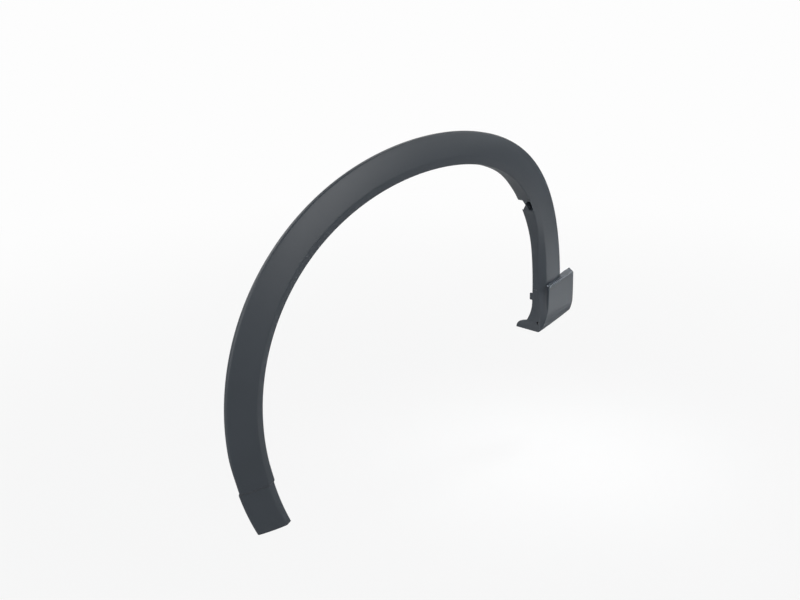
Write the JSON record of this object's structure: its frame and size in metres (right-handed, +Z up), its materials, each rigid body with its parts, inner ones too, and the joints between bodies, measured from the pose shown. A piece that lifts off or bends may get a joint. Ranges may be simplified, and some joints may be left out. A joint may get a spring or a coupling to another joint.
{
  "type": "wheel arch trim",
  "caption": "Moulded wheel arch trim: a thin curved channel with an inner chamfer and return flange, a raised end pad with a foot, a joggled end tab and clip seats behind.",
  "frame": {"origin": "centre of the keyhole in the clip seat at the crown, on the seat's inboard face", "axes": "+X along the vehicle towards the end pad, +Y inboard, away from the visible face, +Z up"},
  "size_m": [0.8967, 0.1297, 0.5818],
  "materials": {
    "plastic": "fine moulded grain"
  },
  "bodies": {
    "root": {"arch_trim": "plastic"}
  },
  "joints": []
}
